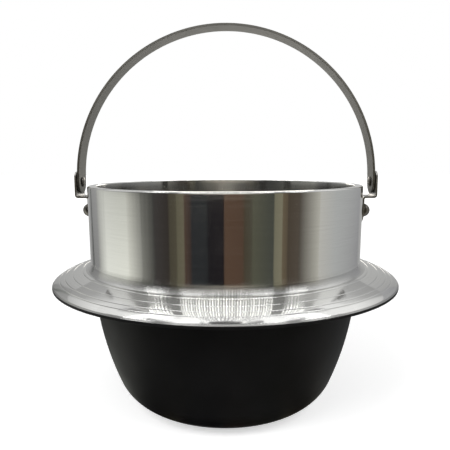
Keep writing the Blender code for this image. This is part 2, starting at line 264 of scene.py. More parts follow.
# Stripes of the ring: name, first azimuth, the colours there and at the next stripe, and how many times as
# bright either is at the top.
STRIPES = (
    ("back_left", -180, (0.62, 0.62, 0.61), (0.31, 0.31, 0.31), 1.0, 1.5),
    ("left_grey", -132, (0.21, 0.21, 0.21), (0.225, 0.225, 0.225), 1.6, 1.6),
    ("left_line", -127.5, (0.045, 0.047, 0.045), (0.045, 0.047, 0.045), 6.0, 6.0),
    ("left_pale_grey", -124.7, (0.235, 0.235, 0.235), (0.28, 0.28, 0.28), 1.5, 1.5),
    ("left_rise", -112, (0.31, 0.31, 0.30), (0.90, 0.91, 0.85), 1.4, 0.4),
    ("left_light", -98, (0.92, 0.93, 0.87), (0.95, 0.96, 0.88), 0.4, 0.2),
    ("left_fall", -72, (0.86, 0.86, 0.785), (0.36, 0.36, 0.33), 0.2, 0.0),
    ("left_shade", -59, (0.27, 0.27, 0.245), (0.062, 0.060, 0.056), 0.0, 0.4),
    ("dark_brown", -48, (0.055, 0.050, 0.048), (0.040, 0.034, 0.030), 1.0, 1.0),
    ("olive", -37, (0.072, 0.064, 0.046), (0.090, 0.080, 0.056), 1.0, 1.0),
    ("light_olive", -31.3, (0.130, 0.120, 0.082), (0.150, 0.136, 0.094), 1.0, 1.0),
    ("dull_red", -26, (0.090, 0.060, 0.045), (0.040, 0.030, 0.028), 1.0, 1.0),
    ("slate", -21, (0.026, 0.028, 0.031), (0.024, 0.026, 0.028), 1.0, 1.0),
    ("black", -10, (0.013, 0.012, 0.014), (0.014, 0.012, 0.014), 1.0, 1.0),
    ("brown", 1, (0.100, 0.060, 0.040), (0.092, 0.056, 0.038), 1.0, 1.0),
    ("dark_olive", 14, (0.066, 0.054, 0.036), (0.080, 0.076, 0.056), 1.0, 1.0),
    ("green_grey", 20, (0.098, 0.098, 0.070), (0.066, 0.070, 0.060), 1.0, 1.0),
    ("pale_olive", 35, (0.190, 0.180, 0.128), (0.230, 0.214, 0.152), 1.0, 1.0),
    ("tan", 41, (0.150, 0.120, 0.080), (0.110, 0.086, 0.060), 1.0, 1.0),
    ("umber", 45, (0.076, 0.060, 0.045), (0.095, 0.078, 0.062), 1.0, 1.0),
    ("right_rise", 54, (0.082, 0.070, 0.058), (0.50, 0.49, 0.44), 1.0, 1.0),
    ("right_light", 72, (0.55, 0.54, 0.51), (0.46, 0.47, 0.47), 1.0, 1.0),
    ("right_grey", 90, (0.46, 0.47, 0.47), (0.28, 0.28, 0.29), 1.0, 1.4),
    ("back_right", 132, (0.33, 0.33, 0.33), (0.62, 0.62, 0.61), 1.3, 1.15),
)
STRIPES_END = 180

# The two cards inside the ring. The backdrop gets brighter upwards by BACKDROP_GAIN, and the glow fades
# towards its sides to GLOW_SIDE of its colour.
BACKDROP_AZIMUTHS = (163, 197)
BACKDROP_FOOT = 165 * MM
BACKDROP_COLOUR = (1.6, 1.54, 1.45)
BACKDROP_GAIN = 1.6
GLOW_AZIMUTHS = (-33, 33)
GLOW_FOOT = 200 * MM
GLOW_COLOUR = (1.5, 1.4, 1.2)
GLOW_SIDE = 0.1

# Patches of the dome: name, first and last azimuth, first and last elevation, and how bright at either
# elevation. A later patch hangs in front of an earlier one, by PATCH_STEP of the dome's radius.
PATCHES = (
    ("ceiling", -180, 180, 41, 82, 0.40, 0.40),
    ("zenith", -180, 180, 84, 90, 0.12, 0.12),
    ("front_zenith", -60, 60, 74, 84, 0.12, 0.12),
    ("front_low", -60, 60, DOME_LOW, 44, 0.10, 0.20),
    ("left_low", -98, -60, DOME_LOW, 45, 0.30, 0.40),
    ("right_low", 60, 98, DOME_LOW, 45, 0.35, 0.65),
    ("left_slope", -165, -136, DOME_LOW, 30, 0.32, 0.43),
    ("left_slope_top", -165, -136, 30, 41, 0.43, 0.84),
    ("left_shoulder", -136, -98, DOME_LOW, 41, 0.40, 0.92),
    ("right_slope", 138, 165, DOME_LOW, 30, 0.32, 0.44),
    ("right_slope_top", 138, 165, 30, 41, 0.44, 0.80),
    ("right_shoulder", 98, 138, DOME_LOW, 41, 0.46, 1.02),
    ("back", 165, 195, DOME_LOW, 60, 0.80, 0.45),
    ("left_band", -165, -132, 41, 48, 0.80, 0.75),
    ("right_band", 132, 165, 41, 50, 0.92, 1.00),
    ("left_box", -132, -98, 41, 62, 0.85, 1.10),
    ("right_box", 98, 136, 41, 61.5, 0.98, 1.10),
    ("left_gap", -148, -129, 48, 57, 0.28, 0.26),
    ("right_gap", 134, 151, 49, 57, 0.30, 0.28),
    ("left_dim", -104, -80, 43, 49.5, 0.28, 0.34),
    ("right_dim", 88, 104, 43, 47, 0.28, 0.32),
    ("left_upper", -165, -132, 57, 71, 0.80, 1.00),
    ("right_upper", 132, 165, 57, 68, 0.60, 0.80),
    ("left_mark", -146, -137, 63.5, 67, 1.50, 1.50),
    ("right_mark", 137, 146, 63.5, 67, 1.30, 1.30),
    ("left_strip", -142, -62, 71, 81, 1.30, 1.30),
    ("right_strip", 70, 142, 68, 76.5, 1.25, 1.25),
)
PATCH_STEP = 0.002

# Rows of bright tubes, which give the flange its bright strokes: name, the azimuth that the row fans out
# from, first and last azimuth at the elevation TUBE_MIDDLE, foot elevation of the first, middle and last
# tube, top elevation, pitch, width, and how bright at the foot and at the top. Along a row the brightness
# of the tubes goes through TUBE_LEVELS again and again.
TUBE_ROWS = (
    ("front_tubes", 0, (-46, 52), (44, 44, 44), 71, 2.8, 1.3, (2.6, 2.6)),
    ("left_tubes", 0, (-57, -94), (53, 44.5, 50), 60, 4.6, 2.1, (4.2, 2.6)),
    ("right_tubes", 0, (65, 102), (51, 44.5, 50), 60, 4.6, 2.1, (3.6, 2.3)),
    ("back_tubes", 180, (150, 210), (57, 57, 57), 84, 2.8, 1.4, (1.5, 1.5)),
    ("left_edge_tubes", -180, (-148, -126), (61, 60, 60), 71, 3.2, 1.6, (2.8, 2.2)),
    ("right_edge_tubes", 180, (148, 126), (61, 60, 60), 70, 3.2, 1.6, (2.4, 2.0)),
)
TUBE_R = 2375 * MM
TUBE_STEPS = 10
TUBE_MIDDLE = 50
TUBE_LEAN = 0.64
TUBE_LEVELS = (0.75, 1.0, 1.25, 0.875, 1.125)


def mix(start, end, share):
    """The value at a share of the way from start to end."""
    return start + (end - start) * share


def between(start, end, share):
    """The point at a share of the way from start to end."""
    return mix(start[0], end[0], share), mix(start[1], end[1], share)


def arc(centre_x, centre_z, radius, start, end, count):
    """Points on a circle from the start angle to the end angle, in degrees from +X."""
    angles = [radians(start + (end - start) * i / (count - 1)) for i in range(count)]
    return [(centre_x + radius * cos(a), centre_z + radius * sin(a)) for a in angles]


def joined(*runs):
    """The runs end to end, with points filled in along the straight stretch between two runs."""
    points = list(runs[0])
    for run in runs[1:]:
        start = points[-1]
        count = int(dist(start, run[0]) / FILL_PITCH)
        points += [between(start, run[0], i / (count + 1)) for i in range(1, count + 1)]
        points += run
    return points


def grooved(run):
    """The run with fine turned grooves: steepest halfway along it, and fading out at its ends."""
    lengths = [0]
    for first, second in zip(run, run[1:]):
        lengths.append(lengths[-1] + dist(first, second))
    per_groove = len(GROOVE_LIFTS)
    count = per_groove * round(lengths[-1] / GROOVE_PITCH)
    full_depth = GROOVE_PITCH / per_groove * tan(radians(GROOVE_TILT))
    points = []
    k = 0
    for i in range(count + 1):
        along = lengths[-1] * i / count
        while k < len(run) - 2 and lengths[k + 1] < along:
            k += 1
        piece = lengths[k + 1] - lengths[k]
        across = (run[k + 1][0] - run[k][0]) / piece
        down = (run[k + 1][1] - run[k][1]) / piece
        lift = full_depth * sin(pi * i / count) * GROOVE_LIFTS[i % per_groove]
        x, z = between(run[k], run[k + 1], (along - lengths[k]) / piece)
        points.append((x - down * lift, z + across * lift))
    return points


def flange_top(radius):
    """Height of the flange's top: it falls evenly, then rolls down near the edge."""
    share = (radius - FLANGE_ROOT_R) / (FLANGE_R - FLANGE_ROOT_R)
    fall = FLANGE_SLOPE_FALL * share + FLANGE_ROLL_FALL * max(share, 0) ** FLANGE_ROLL_POWER
    return FLANGE_EDGE_HEIGHT + FLANGE_SLOPE_FALL + FLANGE_ROLL_FALL - fall


def flange_points():
    """The flange's top from the wall's foot out to its edge, with a shallow round groove at each ring."""
    span = FLANGE_R - FLANGE_EDGE_ROUND - FLANGE_ROOT_R
    middles = [FLANGE_ROOT_R + span * spot for spot in RING_SPOTS]
    radii = [FLANGE_ROOT_R + span * i / FLANGE_TOP_STEPS for i in range(1, FLANGE_TOP_STEPS)]
    radii = [r for r in radii if min(abs(r - m) for m in middles) > RING_CLEAR]
    for middle in middles:
        radii += [middle + RING_WIDTH * (i / RING_STEPS - 0.5) for i in range(RING_STEPS + 1)]
    points = []
    for radius in sorted(radii):
        away = min(abs(radius - m) for m in middles) / (RING_WIDTH / 2)
        dip = RING_DEPTH * (1 + cos(pi * away)) / 2 if away < 1 else 0
        points.append((radius, flange_top(radius) - dip))
    return points


def flange_underside(slope):
    """The flange's underside from its edge in to the bowl, thicker towards the root, then the fillet."""
    edge_x = FLANGE_R - FLANGE_EDGE_ROUND
    root_x = BOWL_R + UNDERSIDE_FILLET_R
    fillet_z = flange_top(root_x) - FLANGE_ROOT_THICKNESS - UNDERSIDE_FILLET_R
    points = []
    for step in range(UNDERSIDE_STEPS - 1, 0, -1):
        share = step / UNDERSIDE_STEPS
        radius = mix(root_x, edge_x, share)
        thickness = mix(FLANGE_ROOT_THICKNESS, FLANGE_EDGE_THICKNESS, share)
        points.append((radius, flange_top(radius) - thickness))
    return points + arc(root_x, fillet_z, UNDERSIDE_FILLET_R, 90 - slope, 180, UNDERSIDE_FILLET_STEPS)


def bowl_arcs(inset, count, start_height):
    """The bowl's outline from start_height down to the flat base, moved inwards by inset."""
    side_x = BOWL_R - BOWL_SIDE_ARC_R
    fall = BOWL_WIDEST_HEIGHT - BOWL_CORNER_ARC_R
    reach = BOWL_SIDE_ARC_R - BOWL_CORNER_ARC_R
    corner_x = side_x + sqrt(reach**2 - fall**2)
    turn = degrees(atan2(fall, corner_x - side_x))
    start = degrees(asin((BOWL_WIDEST_HEIGHT - start_height) / (BOWL_SIDE_ARC_R - inset)))
    side = arc(side_x, BOWL_WIDEST_HEIGHT, BOWL_SIDE_ARC_R - inset, -start, -turn, count)
    corner = arc(corner_x, BOWL_CORNER_ARC_R, BOWL_CORNER_ARC_R - inset, -turn, -90, count)
    return side + corner[1:]


def inner_radius(height):
    """Radius of the cavity at a height above the bowl's widest line."""
    share = (height - BOWL_WIDEST_HEIGHT) / (RIM_HEIGHT - BOWL_WIDEST_HEIGHT)
    return mix(BOWL_R - BOWL_THICKNESS, RIM_INNER_R, share)


def pot_profile():
    """Half section of the pot: out along the cavity's floor, up, over the rim and down outside to the base.

    Also gives where along it each finish after the first one starts. The inside, the foot and the
    flange's edge have darker colours than the wall, which are painted shade. The flange's edge has its own
    finish only at its upper corner, from the slope's last point to the first step of the round.
    """
    inner_x = RIM_INNER_R + RIM_INNER_ROUND
    inside = joined(
        [(0, BOWL_THICKNESS)],
        bowl_arcs(BOWL_THICKNESS, BOWL_INSIDE_STEPS, BOWL_WIDEST_HEIGHT)[::-1],
        arc(inner_x, RIM_HEIGHT - RIM_INNER_ROUND, RIM_INNER_ROUND, 180, 90, RIM_INNER_STEPS),
    )
    outer_x = RIM_OUTER_R - RIM_OUTER_ROUND
    rim = arc(outer_x, RIM_HEIGHT - RIM_OUTER_ROUND, RIM_OUTER_ROUND, 90, 0, RIM_OUTER_STEPS)

    slope = degrees(atan2(FLANGE_SLOPE_FALL, FLANGE_R - FLANGE_ROOT_R))
    fillet_z = flange_top(FLANGE_ROOT_R) + FOOT_FILLET_R
    foot = arc(FLANGE_ROOT_R, fillet_z, FOOT_FILLET_R, 180, 270 - slope, FOOT_FILLET_STEPS)
    above = between(foot[0], rim[-1], GROOVES_ABOVE_FOOT / (rim[-1][1] - foot[0][1]))
    wall = joined(inside, rim, grooved([above] + foot))

    edge_x = FLANGE_R - FLANGE_EDGE_ROUND
    edge_top = FLANGE_EDGE_HEIGHT - FLANGE_EDGE_ROUND
    edge_bottom = FLANGE_EDGE_HEIGHT - FLANGE_EDGE_THICKNESS + FLANGE_EDGE_ROUND
    edge = arc(edge_x, edge_top, FLANGE_EDGE_ROUND, 60, 0, EDGE_TOP_STEPS)
    bright = joined(wall, flange_points(), edge)

    underside = flange_underside(slope)
    coated = joined(
        arc(edge_x, edge_bottom, FLANGE_EDGE_ROUND, 0, -90, EDGE_BOTTOM_STEPS),
        underside,
        bowl_arcs(0, BOWL_OUTSIDE_STEPS, underside[-1][1] - UNDERSIDE_BLEND),
        [(0, 0)],
    )

    foot_rows = len(GROOVE_LIFTS) * round(FOOT_FINISH_AND_PAINTED_SHADE_RUN / GROOVE_PITCH)
    edge_row = len(bright) - len(edge)
    starts = (
        len(inside) - RIM_INNER_STEPS,
        len(wall) - foot_rows,
        len(wall) - 1,
        edge_row - 1,
        edge_row + 1,
    )
    return bright + coated, starts


def rounded_end(radius):
    """Rows of (distance from the end, half width) that round a strip's end off to a half circle."""
    rows = []
    for i in range(STRIP_END_STEPS):
        angle = radians(END_FLAT_ANGLE + (90 - END_FLAT_ANGLE) * i / (STRIP_END_STEPS - 1))
        rows.append((radius - radius * cos(angle), radius * sin(angle)))
    return rows


def bail_rows():
    """The bail from its right leg's end over the arch to its left leg's end."""
    half = BAIL_WIDTH / 2
    rows = [(BAIL_MID_R, PIVOT_HEIGHT + along - half, width) for along, width in rounded_end(half)]
    rise = BAIL_RISE - BAIL_THICKNESS / 2 - BAIL_SPRINGING
    for i in range(BAIL_ARCH_STEPS):
        angle = radians(90 * i / BAIL_ARCH_STEPS)
        rows.append((BAIL_MID_R * cos(angle), PIVOT_HEIGHT + BAIL_SPRINGING + rise * sin(angle), half))
    top = [(0, PIVOT_HEIGHT + BAIL_SPRINGING + rise, half)]
    return rows + top + [(-x, z, width) for x, z, width in rows[::-1]]


def ear_rows():
    """The right bracket from its foot on the wall, out along the shelf and up the plate."""
    half = EAR_WIDTH / 2
    shelf = EAR_SHELF_HEIGHT
    rows = [(EAR_FOOT_MID, EAR_LOW.z + along, width) for along, width in rounded_end(half)]
    bends = arc(EAR_FOOT_MID + EAR_BEND_R, shelf - EAR_BEND_R, EAR_BEND_R, 180, 90, BEND_STEPS)
    bends += arc(EAR_PLATE_MID - EAR_BEND_R, shelf + EAR_BEND_R, EAR_BEND_R, -90, 0, BEND_STEPS)
    rows += [(x, z, half) for x, z in bends]
    for i in range(EAR_CORNER_STEPS):
        angle = radians(EAR_CORNER_TURN * i / (EAR_CORNER_STEPS - 1))
        width = half - EAR_CORNER_WIDTH * (1 - cos(angle))
        rows.append((EAR_PLATE_MID, EAR_HIGH.z - EAR_CORNER_HEIGHT * (1 - sin(angle)), width))
    return rows


def rivet_head(radius, height, base, side):
    """A rivet head's outline from its base to its top on the axis, towards side (1 or -1)."""
    skirt = HEAD_SKIRT_SHARE * height
    points = [(radius, base)]
    for i in range(RIVET_HEAD_STEPS):
        angle = radians(90 * i / (RIVET_HEAD_STEPS - 1))
        points.append((radius * cos(angle), base + side * (skirt + (height - skirt) * sin(angle))))
    points[-1] = (0, points[-1][1])
    return points


def pivot_rivet_profile():
    """Local Z points away from the pot. Zero is the bail's outer face."""
    head = -BAIL_THICKNESS - FACE_GAP
    tail = FACE_GAP + EAR_SHEET + FACE_GAP
    end = tail + PIVOT_TAIL_HEIGHT
    points = [(0, end), (PIVOT_TAIL_R - PIVOT_TAIL_CHAMFER, end), (PIVOT_TAIL_R, end - PIVOT_TAIL_CHAMFER)]
    points += [(PIVOT_TAIL_R, tail), (PIVOT_PIN_R, tail), (PIVOT_PIN_R, head)]
    return points + rivet_head(PIVOT_HEAD_R, PIVOT_HEAD_HEIGHT, head, -1)


def wall_rivet_profile():
    """Local Z points away from the pot. Zero is the pot's axis."""
    head = EAR_FOOT_MID + EAR_SHEET / 2 + FACE_GAP
    lowest = inner_radius(WALL_RIVET_HEIGHT - WALL_TAIL_R) * cos(pi / CAD_POT_STEPS)
    tail = sqrt(lowest**2 - WALL_TAIL_R**2) - FACE_GAP
    end = tail - WALL_TAIL_HEIGHT
    round_x = WALL_TAIL_R - WALL_TAIL_ROUND
    points = rivet_head(WALL_HEAD_R, WALL_HEAD_HEIGHT, head, 1)[::-1]
    points += [(WALL_PIN_R, head), (WALL_PIN_R, tail), (WALL_TAIL_R, tail)]
    points += arc(round_x, end + WALL_TAIL_ROUND, WALL_TAIL_ROUND, 0, -90, TAIL_ROUND_STEPS)
    return points + [(0, end)]


def link_mesh(name, verts, faces):
    """A new object in the scene, with a mesh of these points and faces."""
    mesh = bpy.data.meshes.new(name)
    mesh.from_pydata(verts, [], faces)
    made = bpy.data.objects.new(name, mesh)
    bpy.context.scene.collection.objects.link(made)
    return made


def turned(name, points, steps):
    """A closed body of revolution about Z. The half section starts and ends on the axis.

    Each step round has one face for each piece of the half section, in the section's order.
    """
    ring = points[1:-1]
    ends = [(0, 0, points[0][1]), (0, 0, points[-1][1])]
    verts = list(ends)
    for x, z in ring:
        verts += [(x * cos(2 * pi * i / steps), x * sin(2 * pi * i / steps), z) for i in range(steps)]
    rows = [len(ends) + row * steps for row in range(len(ring))]
    faces = []
    for i in range(steps):
        after = (i + 1) % steps
        faces.append((0, rows[0] + i, rows[0] + after))
        faces += [(row + i, row + steps + i, row + steps + after, row + after) for row in rows[:-1]]
        faces.append((rows[-1] + after, rows[-1] + i, 1))
    return link_mesh(name, verts, faces)


def apply_modifiers(obj):
    """The object's mesh takes what its modifiers make."""
    graph = bpy.context.evaluated_depsgraph_get()
    made = bpy.data.meshes.new_from_object(obj.evaluated_get(graph))
    obj.modifiers.clear()
    obj.data = made


def bent_strip(name, rows, thickness):
    """A bent sheet of even thickness, swept along rows of (x, z, half width), with broken edges."""
    verts = []
    for x, z, half in rows:
        verts += [(x, -half, z), (x, half, z)]
    faces = [(2 * i, 2 * i + 1, 2 * i + 3, 2 * i + 2) for i in range(len(rows) - 1)]
    made = link_mesh(name, verts, faces)
    shell = made.modifiers.new("sheet", "SOLIDIFY")
    shell.thickness = thickness
    shell.offset = 0
    shell.use_even_offset = True
    edge = made.modifiers.new("broken_edges", "BEVEL")
    edge.width = EDGE_BREAK
    edge.segments = EDGE_BREAK_SEGMENTS
    edge.limit_method = "ANGLE"
    edge.angle_limit = radians(EDGE_BREAK_ANGLE)
    apply_modifiers(made)
    return made


def bore(obj, side, radius, inner, outer, height):
    """Cuts a round hole along X, on that side, from a margin before inner to a margin past outer."""
    start = inner - CUT_MARGIN
    end = outer + CUT_MARGIN
    bpy.ops.mesh.primitive_cylinder_add(vertices=HOLE_STEPS, radius=radius, depth=end - start)
    cutter = bpy.context.object
    cutter.location = (side * (start + end) / 2, 0, height)
    cutter.rotation_euler = (0, pi / 2, 0)
    step = obj.modifiers.new("hole", "BOOLEAN")
    step.operation = "DIFFERENCE"
    step.solver = "EXACT"
    step.object = cutter
    apply_modifiers(obj)
    bpy.data.objects.remove(cutter, do_unlink=True)


def place(obj, location, turn):
    """Puts the mesh where the piece is, so that the object itself stays at the frame's origin."""
    obj.data.transform(Matrix.Translation(location) @ Matrix.Rotation(turn, 4, "Y"))


def smooth(obj, angle):
    """Shades the object smooth, with its edges sharp where they turn further than the angle."""
    obj.data.shade_smooth()
    obj.data.set_sharp_from_angle(angle=radians(angle))


class Tree:
    """A material's nodes, added one at a time. An input is a value or another node's output."""

    def __init__(self, name):
        self.material = bpy.data.materials.new(name)
        self.material.use_nodes = True
        self.nodes = self.material.node_tree.nodes
        self.links = self.material.node_tree.links
        self.shader = self.nodes["Principled BSDF"]

    def set(self, node, **inputs):
        """Fills a node's inputs by name, with _ for a space, or by number, as in i0."""
        for key, value in inputs.items():
            numbered = key[0] == "i" and key[1:].isdigit()
            socket = node.inputs[int(key[1:]) if numbered else key.replace("_", " ")]
            if isinstance(value, bpy.types.NodeSocket):
                self.links.new(value, socket)
            else:
                socket.default_value = value
        return node

    def add(self, kind, props=None, **inputs):
        """A new node of that kind, with its properties and inputs."""
        node = self.nodes.new("ShaderNode" + kind)
        for key, value in (props or {}).items():
            setattr(node, key, value)
        return self.set(node, **inputs)

    def show(self, shader):
        """Makes the shader the one that the material shows."""
        self.links.new(shader, self.nodes["Material Output"].inputs[0])

    def math(self, operation, first, second=0.0):
        return self.add("Math", {"operation": operation}, i0=first, i1=second).outputs[0]

    def position(self):
        """Where the point is, in the object's own metres."""
        return self.add("TexCoord").outputs["Object"]

    def noise(self, vector, scale=1.0, detail=2.0, roughness=0.5):
        made = self.add("TexNoise", Vector=vector, Scale=scale, Detail=detail, Roughness=roughness)
        return made.outputs[0]

    def spread(self, value, low, high):
        """Maps the range of a noise to low and high."""
        return self.add("MapRange", Value=value, i1=NOISE_LOW, i2=NOISE_HIGH, i3=low, i4=high).outputs[0]

    def shaded(self, colour, shade):
        """The colour made darker or lighter by a shade, where 1 leaves it as it is."""
        grey = self.add("CombineXYZ", X=shade, Y=shade, Z=shade).outputs[0]
        kind = {"data_type": "RGBA", "blend_type": "MULTIPLY"}
        return self.add("Mix", kind, i0=1.0, i6=(*colour, 1), i7=grey).outputs[2]


def turning_coordinates(tree, around, along):
    """Runs slowly round Z and fast along the profile, so that noise on it looks like turned lines."""
    x, y, z = tree.add("SeparateXYZ", Vector=tree.position()).outputs
    squares = [tree.math("MULTIPLY", axis, axis) for axis in (x, y)]
    radius = tree.math("SQRT", tree.math("ADD", *squares))
    right = tree.math("MULTIPLY", tree.math("DIVIDE", x, radius), around)
    back = tree.math("MULTIPLY", tree.math("DIVIDE", y, radius), around)
    run = tree.math("MULTIPLY", tree.math("SUBTRACT", z, radius), along)
    return tree.add("CombineXYZ", X=right, Y=back, Z=run).outputs[0]


def turned_metal(name, colour, roughness, band_depth):
    """Bright turned metal: fine lines round the axis, a gloss stretched across them, and a few bands."""
    tree = Tree(name)
    fine = tree.noise(turning_coordinates(tree, around=3.0, along=4500), detail=3.0, roughness=0.6)
    bands = tree.noise(turning_coordinates(tree, around=1.5, along=700))
    cloud = tree.noise(tree.position(), scale=45.0, detail=3.0)
    lines = tree.math("ADD", tree.math("MULTIPLY", fine, 0.8), tree.math("MULTIPLY", bands, 0.2))
    band_rough = tree.spread(bands, roughness * 0.85, roughness * 1.15)
    bump = tree.add("Bump", Strength=0.5, Distance=band_depth, Height=bands)
    tangent = tree.add("Tangent", {"direction_type": "RADIAL", "axis": "Z"})
    tree.set(
        tree.shader,
        Base_Color=tree.shaded(colour, tree.spread(lines, 0.94, 1.04)),
        Metallic=1.0,
        Roughness=tree.math("ADD", band_rough, tree.spread(cloud, -0.015, 0.015)),
        Anisotropic=1.0,
        Anisotropic_Rotation=0.25,
        Normal=bump.outputs[0],
        Tangent=tangent.outputs[0],
    )
    return tree.material


def black_coating():
    """Matt baked coating with a fine grain and faint lines from the turning under it."""
    tree = Tree("black_coating")
    grain = tree.noise(tree.position(), scale=2600.0)
    cloud = tree.noise(tree.position(), scale=40.0, detail=3.0)
    lines = tree.noise(turning_coordinates(tree, around=2.0, along=900))
    shade = tree.math("ADD", tree.spread(cloud, 0.0060, 0.0085), tree.spread(grain, -0.001, 0.001))
    colour = tree.add("CombineXYZ", X=shade, Y=shade, Z=tree.math("MULTIPLY", shade, 1.03))
    height = tree.math("ADD", grain, tree.math("MULTIPLY", lines, 0.5))
    bump = tree.add("Bump", Strength=0.4, Distance=0.03 * MM, Height=height)
    tree.set(
        tree.shader,
        Base_Color=colour.outputs[0],
        Roughness=tree.spread(cloud, 0.52, 0.60),
        Specular_IOR_Level=0.12,
        Normal=bump.outputs[0],
    )
    return tree.material


def satin_steel(name, colour, roughness, grain, glancing=1.0):
    """Satin steel with fine scratches and a little wear.

    grain is how many scratches a metre has along each axis, so they run along the axis that has the fewest.
    glancing is how much of its full gloss the steel has where it is seen at a glancing angle.
    """
    tree = Tree(name)
    stretched = tree.add("VectorMath", {"operation": "MULTIPLY"}, i0=tree.position(), i1=grain).outputs[0]
    scratches = tree.noise(stretched, detail=3.0, roughness=0.6)
    cloud = tree.noise(tree.position(), scale=90.0, detail=3.0)
    shade = tree.math("MULTIPLY", tree.spread(scratches, 0.92, 1.06), tree.spread(cloud, 0.95, 1.05))
    cloud_rough = tree.spread(cloud, roughness - 0.03, roughness + 0.03)
    bump = tree.add("Bump", Strength=0.4, Distance=0.02 * MM, Height=scratches)
    tree.set(
        tree.shader,
        Base_Color=tree.shaded(colour, shade),
        Metallic=1.0,
        Roughness=tree.math("ADD", tree.spread(scratches, -0.03, 0.03), cloud_rough),
        Specular_Tint=(glancing, glancing, glancing, 1),
        Normal=bump.outputs[0],
    )
    return tree.material


def declare(obj, body, node, slot, *finishes):
    """The piece takes its finishes, rides on its body and stands for its CAD node."""
    obj.data.materials.clear()
    for finish in finishes:
        obj.data.materials.append(finish)
    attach(obj, body)
    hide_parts(node)


def make_pot():
    """The pot with its two rivet holes. Each face takes the finish of its place along the half section.

    The inside, the foot and the flange's edge have darker colours than the wall, which are painted shade.
    """
    points, starts = pot_profile()
    pot = turned("pot", points, POT_STEPS)
    for face in pot.data.polygons:
        row = face.index % (len(points) - 1)
        face.material_index = sum(row >= start for start in starts)
    inner = inner_radius(WALL_RIVET_HEIGHT)
    for side in (1, -1):
        bore(pot, side, WALL_PIN_R + HOLE_GAP, inner, RIM_OUTER_R, WALL_RIVET_HEIGHT)
    smooth(pot, POT_SMOOTH_ANGLE)
    finishes = [turned_metal(*row) for row in TURNED_METAL_AND_PAINTED_SHADE] + [black_coating()]
    indices = [face.material_index for face in pot.data.polygons]
    declare(pot, "pot", "pot_body", "pot_metal", *finishes)
    pot.data.polygons.foreach_set("material_index", indices)


def make_bail():
    """The bail with its two pivot holes."""
    bail = bent_strip("bail", bail_rows(), BAIL_THICKNESS)
    for side in (1, -1):
        bore(bail, side, PIVOT_PIN_R + HOLE_GAP, BAIL_OUTER_R - BAIL_THICKNESS, BAIL_OUTER_R, PIVOT_HEIGHT)
    smooth(bail, STRIP_SMOOTH_ANGLE)
    steel = satin_steel("bail_strip", (0.258, 0.254, 0.235), 0.40, (200, 2500, 200), glancing=0.60)
    declare(bail, "bail", "bail_handle", "bail_steel", steel)


def make_sides():
    """On either side an ear bracket with its two holes, a pivot rivet and a wall rivet."""
    sheet = satin_steel("ear_sheet", (0.42, 0.41, 0.39), 0.30, (5000, 300, 5000))
    rivet_steel = satin_steel("rivet_steel", (0.19, 0.18, 0.16), 0.19, (900, 900, 900), glancing=0.8)
    for label, side in (("right", 1), ("left", -1)):
        rows = [(side * x, z, half) for x, z, half in ear_rows()]
        ear = bent_strip("ear_" + label, rows, EAR_SHEET)
        # The sheet is thinner than a cut's margin. The plate's cut stands a little out, away from the foot.
        plate = EAR_PLATE_MID + EAR_SHEET
        bore(ear, side, PIVOT_PIN_R + HOLE_GAP, plate, plate, PIVOT_HEIGHT)
        bore(ear, side, WALL_PIN_R + HOLE_GAP, EAR_FOOT_MID, EAR_FOOT_MID, WALL_RIVET_HEIGHT)
        smooth(ear, STRIP_SMOOTH_ANGLE)
        declare(ear, "pot", "ear_bracket_" + label, "ear_steel", sheet)

        pivot = turned("pivot_" + label, pivot_rivet_profile(), RIVET_STEPS)
        place(pivot, (side * BAIL_OUTER_R, 0, PIVOT_HEIGHT), side * pi / 2)
        smooth(pivot, RIVET_SMOOTH_ANGLE)
        declare(pivot, "pot", "pivot_rivet_" + label, "rivet_steel", rivet_steel)

        rivet = turned("rivet_" + label, wall_rivet_profile(), RIVET_STEPS)
        place(rivet, (0, 0, WALL_RIVET_HEIGHT), side * pi / 2)
        smooth(rivet, RIVET_SMOOTH_ANGLE)
        declare(rivet, "pot", "wall_rivet_" + label, "rivet_steel", rivet_steel)


def directly_seen(nodes, links):
    """1 for the rays of the camera, of gloss and of glass, and 0 for those that light the object."""
    rays = nodes.new("ShaderNodeLightPath").outputs
    seen = rays["Is Camera Ray"]
    for kind in ("Is Glossy Ray", "Is Transmission Ray"):
        either = nodes.new("ShaderNodeMath")
        either.operation = "MAXIMUM"
        links.new(seen, either.inputs[0])
        links.new(rays[kind], either.inputs[1])
        seen = either.outputs[0]
    return seen


def floor():
    """A plain pale floor that keeps the pot's shadow and runs out to white."""
    corners = ((-1, -1), (1, -1), (1, 1), (-1, 1))
    verts = [(x * FLOOR_REACH, y * FLOOR_REACH, FLOOR_HEIGHT) for x, y in corners]
    made = link_mesh("floor", verts, [(0, 1, 2, 3)])
    tree = Tree("pale_floor")
    grey = (FLOOR_GREY, FLOOR_GREY, FLOOR_GREY, 1)
    tree.set(tree.shader, Base_Color=grey, Roughness=0.9, Specular_IOR_Level=0.0)
    made.data.materials.append(tree.material)
    away = tree.add("VectorMath", {"operation": "LENGTH"}, i0=tree.position()).outputs["Value"]
    growth = {"i1": FLOOR_WHITE_START, "i2": FLOOR_WHITE_END, "i3": FLOOR_WHITE_NEAR, "i4": 1.0}
    strength = tree.add("MapRange", Value=away, **growth).outputs[0]
    white = tree.add("Emission", Color=(1, 1, 1, 1), Strength=strength).outputs[0]
    plain = tree.shader.outputs[0]
    both = tree.add("AddShader", i0=plain, i1=white).outputs[0]
    seen = directly_seen(tree.nodes, tree.links)
    tree.show(tree.add("MixShader", i0=seen, i1=plain, i2=both).outputs[0])


